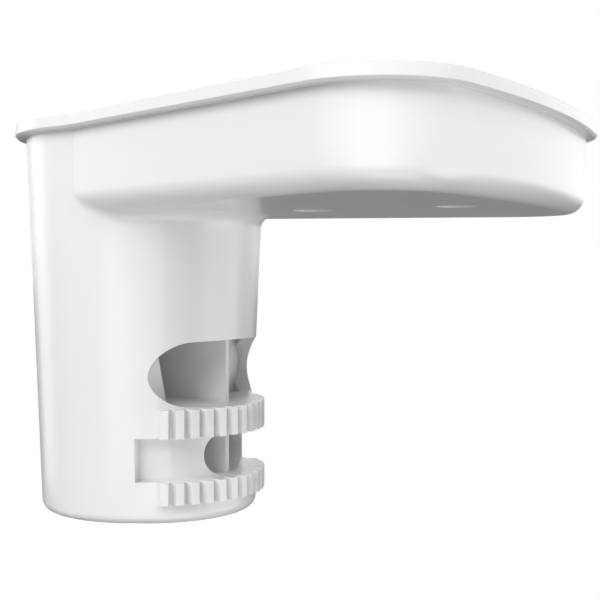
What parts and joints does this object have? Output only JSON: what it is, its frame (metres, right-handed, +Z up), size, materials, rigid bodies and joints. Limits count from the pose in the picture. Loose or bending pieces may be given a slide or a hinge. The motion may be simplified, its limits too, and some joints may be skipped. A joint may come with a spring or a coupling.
{
  "type": "ceiling mount bracket",
  "caption": "Ceiling bracket moulded in one piece: fan-shaped hollow body with a rim and screw recesses, and a tapered hollow column with a cable mouth and toothed bands round a groove.",
  "frame": {"origin": "midway between the two ceiling screws, on the plane of the ceiling", "axes": "+Z up into the ceiling, +X along the centre line from the column towards the wide end, the column hangs towards -Z"},
  "size_m": [0.0931, 0.082, 0.0634],
  "materials": {
    "moulded_shell": "fine satin moulded white ABS"
  },
  "bodies": {
    "root": {"bracket_body": "moulded_shell"}
  },
  "joints": []
}
